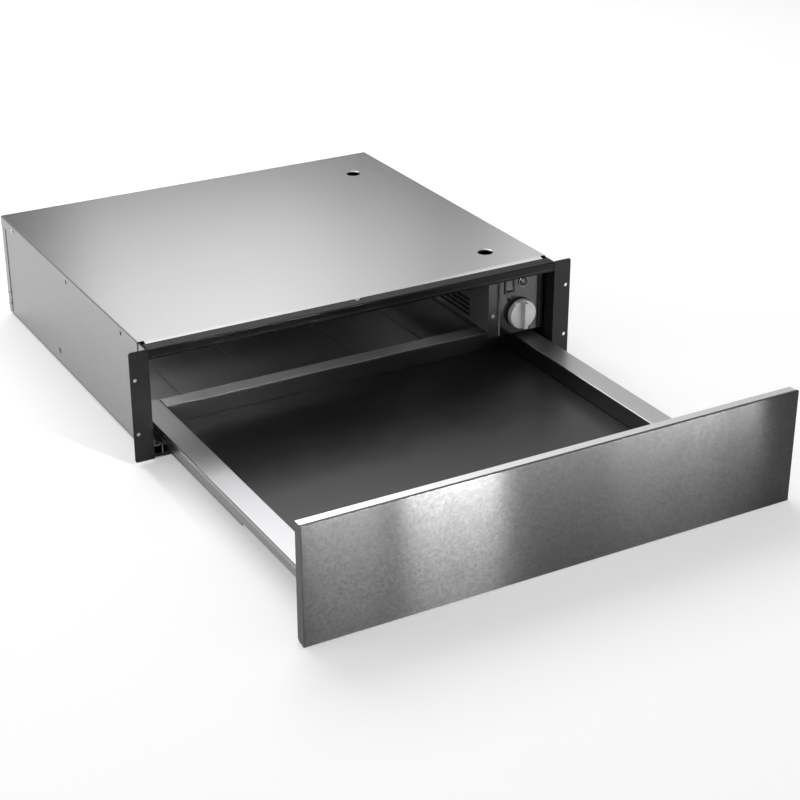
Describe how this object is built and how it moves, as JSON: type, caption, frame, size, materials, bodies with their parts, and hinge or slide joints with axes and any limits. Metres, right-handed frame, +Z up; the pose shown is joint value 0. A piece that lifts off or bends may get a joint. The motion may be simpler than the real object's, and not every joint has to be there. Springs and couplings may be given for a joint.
{
  "type": "built-in warming drawer",
  "caption": "Built-in warming drawer: sheet steel casing for a kitchen niche, full-width stainless front on ball bearing runners, fan heater, knob, switch and lamp in a side box.",
  "frame": {"origin": "centre of the casing's underside, midway between the mounting flanges' front face and the back", "axes": "+X to the right seen from the front, +Y from the front panel into the niche, +Z up"},
  "size_m": [0.594, 0.9275, 0.1406],
  "materials": {
    "cover_steel": "satin zinc-coated steel",
    "casing_steel": "zinc-coated steel",
    "liner_steel": "dark stainless steel",
    "charcoal_paint": "matt charcoal powder coat",
    "front_stainless": "fine grained stainless steel",
    "drawer_stainless": "satin stainless steel",
    "carrier_paint": "grey powder coat",
    "runner_steel": "bright zinc plate",
    "ball_steel": "polished",
    "screw_steel": "bright zinc plate",
    "mat_rubber": "matt anti-slip rubber",
    "seal_rubber": "matt black rubber",
    "insulation_wool": "pressed mineral wool",
    "fascia_gloss": "dark glossy",
    "switch_plastic": "black",
    "rocker_plastic": "grey",
    "knob_silver": "satin",
    "collar_plastic": "dark",
    "lens_plastic": "smoked",
    "device_plastic": "light",
    "heater_alloy": "dark oxidised",
    "latch_plastic": "dark grey",
    "plunger_plastic": "pale grey"
  },
  "bodies": {
    "casing": {"bottom_panel": "casing_steel", "left_side_panel": "casing_steel", "right_side_panel": "casing_steel", "rear_panel": "casing_steel", "top_cover": "cover_steel", "ceiling_liner": "liner_steel", "insulation_mat": "insulation_wool", "front_top_rail": "charcoal_paint", "rail_seal": "seal_rubber", "left_mounting_bracket": "charcoal_paint", "right_mounting_bracket": "charcoal_paint", "casing_screws": "screw_steel", "control_box": "liner_steel", "control_fascia": "fascia_gloss", "rocker_housing": "switch_plastic", "indicator_ring": "rocker_plastic", "indicator_lens": "lens_plastic", "knob_collar": "collar_plastic", "thermostat": "device_plastic", "heating_element": "heater_alloy", "heater_plate": "casing_steel", "blower_housing": "casing_steel", "blower_motor": "latch_plastic", "terminal_block": "device_plastic", "cord_gland": "switch_plastic", "left_cabinet_rail": "runner_steel", "right_cabinet_rail": "runner_steel", "push_latch_body": "latch_plastic"},
    "drawer": {"drawer_floor_pan": "drawer_stainless", "left_drawer_side": "drawer_stainless", "right_drawer_side": "drawer_stainless", "back_profile": "drawer_stainless", "drawer_mat": "mat_rubber", "front_carrier": "carrier_paint", "front_skin": "front_stainless", "left_fixing_bracket": "runner_steel", "right_fixing_bracket": "runner_steel", "panel_screws": "screw_steel", "panel_bumpers": "seal_rubber", "left_drawer_rail": "runner_steel", "right_drawer_rail": "runner_steel", "latch_striker": "latch_plastic"},
    "left_middle_member": {"left_mid_rail": "runner_steel"},
    "right_middle_member": {"right_mid_rail": "runner_steel"},
    "left_outer_cage": {"left_outer_ball_cage": "ball_steel"},
    "right_outer_cage": {"right_outer_ball_cage": "ball_steel"},
    "left_inner_cage": {"left_inner_ball_cage": "ball_steel"},
    "right_inner_cage": {"right_inner_ball_cage": "ball_steel"},
    "control_knob": {"knob": "knob_silver", "knob_spindle": "runner_steel"},
    "switch_rocker": {"rocker": "rocker_plastic"},
    "fan_wheel": {"blower_wheel": "casing_steel"},
    "latch_plunger": {"push_latch_plunger": "plunger_plastic"}
  },
  "joints": [
    {"name": "drawer_slide", "type": "slide", "parent": "casing", "child": "drawer", "axis": [0, -1, 0], "range_m": [-0.41, 0.04]},
    {"name": "left_middle_slide", "type": "slide", "parent": "casing", "child": "left_middle_member", "axis": [0, -1, 0], "range_m": [-0.205, 0.02]},
    {"name": "right_middle_slide", "type": "slide", "parent": "casing", "child": "right_middle_member", "axis": [0, -1, 0], "range_m": [-0.205, 0.02]},
    {"name": "left_outer_cage_slide", "type": "slide", "parent": "casing", "child": "left_outer_cage", "axis": [0, -1, 0], "range_m": [-0.1025, 0.01]},
    {"name": "right_outer_cage_slide", "type": "slide", "parent": "casing", "child": "right_outer_cage", "axis": [0, -1, 0], "range_m": [-0.1025, 0.01]},
    {"name": "left_inner_cage_slide", "type": "slide", "parent": "casing", "child": "left_inner_cage", "axis": [0, -1, 0], "range_m": [-0.3075, 0.03]},
    {"name": "right_inner_cage_slide", "type": "slide", "parent": "casing", "child": "right_inner_cage", "axis": [0, -1, 0], "range_m": [-0.3075, 0.03]},
    {"name": "knob_turn", "type": "hinge", "parent": "casing", "child": "control_knob", "pos_m": [0.2334, -0.2305, 0.069], "axis": [0, 1, 0], "range_deg": [0, 270]},
    {"name": "rocker_tilt", "type": "hinge", "parent": "casing", "child": "switch_rocker", "pos_m": [0.2175, -0.2273, 0.1085], "axis": [1, 0, 0], "range_deg": [0, 16]},
    {"name": "fan_spin", "type": "hinge", "parent": "casing", "child": "fan_wheel", "pos_m": [0.21, 0.03, 0.0836], "axis": [1, 0, 0], "continuous": true},
    {"name": "latch_push", "type": "slide", "parent": "casing", "child": "latch_plunger", "axis": [0, 1, 0], "range_m": [0, 0.006], "stiffness_N_per_m": 400}
  ],
  "couplings": [
    {"joint": "left_middle_slide", "follows": "drawer_slide", "ratio": 0.5},
    {"joint": "right_middle_slide", "follows": "drawer_slide", "ratio": 0.5},
    {"joint": "left_outer_cage_slide", "follows": "drawer_slide", "ratio": 0.25},
    {"joint": "right_outer_cage_slide", "follows": "drawer_slide", "ratio": 0.25},
    {"joint": "left_inner_cage_slide", "follows": "drawer_slide", "ratio": 0.75},
    {"joint": "right_inner_cage_slide", "follows": "drawer_slide", "ratio": 0.75}
  ]
}
